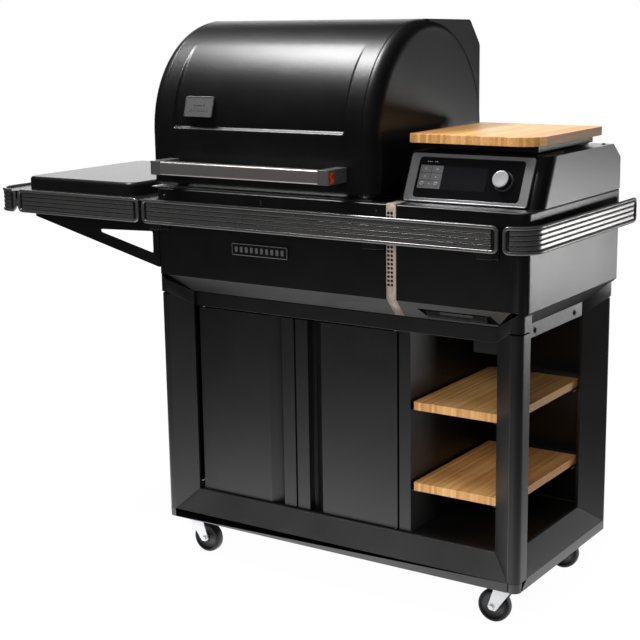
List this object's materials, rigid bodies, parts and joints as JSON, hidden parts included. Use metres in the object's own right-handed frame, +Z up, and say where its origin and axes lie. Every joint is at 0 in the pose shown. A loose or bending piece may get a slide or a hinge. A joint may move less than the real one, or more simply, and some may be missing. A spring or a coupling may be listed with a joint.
{
  "type": "pellet smoker grill",
  "caption": "Pellet smoker grill with a barrel hood, pellet hopper, side shelf and a wheeled cabinet cart.",
  "frame": {"origin": "on the floor under the middle of the whole object", "axes": "+X to the right seen from the front, -Y towards the person at the grill, +Z up"},
  "size_m": [1.499, 0.635, 1.295],
  "materials": {
    "body_powder_coat": "fine textured powder coat, satin black",
    "cart_powder_coat": "satin black powder coat",
    "rail_coat": "semi-gloss black",
    "handle_steel": "fine brushed, warm grey",
    "handle_cast": "dark grey, satin",
    "amber_insert": "translucent orange red",
    "zinc_plate": "bright zinc plate",
    "caster_rubber": "matt black",
    "bamboo": "oiled laminated strips",
    "bronze_trim": "matt brown bronze",
    "bezel_metal": "satin grey",
    "panel_glass": "black gloss",
    "knob_metal": "satin silver",
    "stainless": "plain satin",
    "pot_iron": "heat darkened",
    "cover_black": "fine grained, low sheen",
    "badge_metal": "brushed grey",
    "inlet_plastic": "matt black"
  },
  "bodies": {
    "cart": {"body_shell": "body_powder_coat", "exhaust_duct": "body_powder_coat", "hopper_housing": "body_powder_coat", "side_shelf": "body_powder_coat", "shelf_brackets": "body_powder_coat", "corner_posts": "cart_powder_coat", "post_caps": "cart_powder_coat", "bottom_rails": "cart_powder_coat", "header_rails": "cart_powder_coat", "floor_panel": "cart_powder_coat", "back_panel": "cart_powder_coat", "left_side_panel": "cart_powder_coat", "divider_panel": "cart_powder_coat", "inner_brackets": "cart_powder_coat", "front_rails": "rail_coat", "corner_rails": "rail_coat", "rail_brackets": "rail_coat", "bamboo_shelves": "bamboo", "bronze_strip": "bronze_trim", "nameplate": "badge_metal", "cook_chamber": "stainless", "fire_pot": "pot_iron", "heat_baffle": "stainless", "hopper_bin": "stainless", "auger_drive": "stainless", "control_bezel": "bezel_metal", "control_glass": "panel_glass", "induction_hob": "panel_glass", "power_inlet": "inlet_plastic", "hinges": "zinc_plate", "bolts": "rail_coat", "caster_plates": "zinc_plate"},
    "hood": {"hood_shell": "body_powder_coat", "hood_liner": "stainless", "handle_bar": "handle_steel", "handle_brackets": "handle_cast", "handle_inserts": "amber_insert", "badge_plate": "badge_metal"},
    "door_left": {"left_door": "cart_powder_coat"},
    "door_right": {"right_door": "cart_powder_coat"},
    "lid": {"hopper_lid": "body_powder_coat"},
    "board": {"top_board": "bamboo"},
    "cover": {"hob_cover": "cover_black"},
    "knob_shaft": {"knob_spindle": "rail_coat"},
    "knob": {"knob_cap": "knob_metal"},
    "cleanout": {"cleanout_slide": "rail_coat"},
    "keg": {"grease_keg": "stainless"},
    "grate": {"cooking_grate": "stainless"},
    "tray": {"drip_tray": "stainless"},
    "auger": {"auger_screw": "stainless"},
    "swivel_front_left": {"caster_fork_front_left": "zinc_plate"},
    "wheel_front_left": {"caster_wheel_front_left": "caster_rubber"},
    "swivel_front_right": {"caster_fork_front_right": "zinc_plate"},
    "wheel_front_right": {"caster_wheel_front_right": "caster_rubber"},
    "swivel_rear_left": {"caster_fork_rear_left": "zinc_plate"},
    "wheel_rear_left": {"caster_wheel_rear_left": "caster_rubber"},
    "swivel_rear_right": {"caster_fork_rear_right": "zinc_plate"},
    "wheel_rear_right": {"caster_wheel_rear_right": "caster_rubber"},
    "pedal_front_left": {"caster_brake_front_left": "rail_coat"},
    "pedal_front_right": {"caster_brake_front_right": "rail_coat"}
  },
  "joints": [
    {"name": "hood_hinge", "type": "hinge", "parent": "cart", "child": "hood", "pos_m": [0, 0.268, 0.912], "axis": [-1, 0, 0], "range_deg": [0, 80]},
    {"name": "left_door_hinge", "type": "hinge", "parent": "cart", "child": "door_left", "pos_m": [-0.154, -0.206, 0.4], "axis": [0, 0, -1], "range_deg": [0, 105]},
    {"name": "right_door_hinge", "type": "hinge", "parent": "cart", "child": "door_right", "pos_m": [0.38, -0.206, 0.4], "axis": [0, 0, 1], "range_deg": [0, 105]},
    {"name": "lid_hinge", "type": "hinge", "parent": "cart", "child": "lid", "pos_m": [0.545, 0.166, 1.024], "axis": [-1, 0, 0], "range_deg": [0, 85]},
    {"name": "board_lift", "type": "slide", "parent": "lid", "child": "board", "axis": [0, 0, 1], "range_m": [0, 0.05]},
    {"name": "cover_lift", "type": "slide", "parent": "cart", "child": "cover", "axis": [0, 0, 1], "range_m": [0, 0.1]},
    {"name": "knob_turn", "type": "hinge", "parent": "cart", "child": "knob_shaft", "pos_m": [0.6255, -0.17661, 0.96178], "axis": [0, -0.905, 0.4254], "continuous": true},
    {"name": "knob_press", "type": "slide", "parent": "knob_shaft", "child": "knob", "axis": [0, 0.905, -0.4254], "range_m": [0, 0.0015], "stiffness_N_per_m": 800, "springref_m": -0.0005},
    {"name": "cleanout_pull", "type": "slide", "parent": "cart", "child": "cleanout", "axis": [0, -1, 0], "range_m": [0, 0.05]},
    {"name": "keg_lift", "type": "slide", "parent": "cart", "child": "keg", "axis": [0, 0, 1], "range_m": [0, 0.018]},
    {"name": "grate_lift", "type": "slide", "parent": "cart", "child": "grate", "axis": [0, 0, 1], "range_m": [0, 0.07]},
    {"name": "tray_lift", "type": "slide", "parent": "cart", "child": "tray", "axis": [0, 0, 1], "range_m": [0, 0.008]},
    {"name": "auger_turn", "type": "hinge", "parent": "cart", "child": "auger", "pos_m": [0.4, -0.014, 0.8], "axis": [1, 0, 0], "continuous": true},
    {"name": "caster_swivel_front_left", "type": "hinge", "parent": "cart", "child": "swivel_front_left", "pos_m": [-0.193, -0.203, 0.09], "axis": [0, 0, 1], "continuous": true},
    {"name": "wheel_spin_front_left", "type": "hinge", "parent": "swivel_front_left", "child": "wheel_front_left", "pos_m": [-0.165, -0.203, 0.0375], "axis": [0, 1, 0], "continuous": true},
    {"name": "brake_press_front_left", "type": "hinge", "parent": "swivel_front_left", "child": "pedal_front_left", "pos_m": [-0.175, -0.203, 0.08], "axis": [0, 1, 0], "range_deg": [0, 8]},
    {"name": "caster_swivel_front_right", "type": "hinge", "parent": "cart", "child": "swivel_front_right", "pos_m": [0.657, -0.203, 0.09], "axis": [0, 0, 1], "continuous": true},
    {"name": "wheel_spin_front_right", "type": "hinge", "parent": "swivel_front_right", "child": "wheel_front_right", "pos_m": [0.629, -0.203, 0.0375], "axis": [0, 1, 0], "continuous": true},
    {"name": "brake_press_front_right", "type": "hinge", "parent": "swivel_front_right", "child": "pedal_front_right", "pos_m": [0.639, -0.203, 0.08], "axis": [0, -1, 0], "range_deg": [0, 8]},
    {"name": "caster_swivel_rear_left", "type": "hinge", "parent": "cart", "child": "swivel_rear_left", "pos_m": [-0.193, 0.16, 0.09], "axis": [0, 0, 1], "continuous": true},
    {"name": "wheel_spin_rear_left", "type": "hinge", "parent": "swivel_rear_left", "child": "wheel_rear_left", "pos_m": [-0.165, 0.16, 0.0375], "axis": [0, 1, 0], "continuous": true},
    {"name": "caster_swivel_rear_right", "type": "hinge", "parent": "cart", "child": "swivel_rear_right", "pos_m": [0.657, 0.16, 0.09], "axis": [0, 0, 1], "continuous": true},
    {"name": "wheel_spin_rear_right", "type": "hinge", "parent": "swivel_rear_right", "child": "wheel_rear_right", "pos_m": [0.629, 0.16, 0.0375], "axis": [0, 1, 0], "continuous": true}
  ]
}
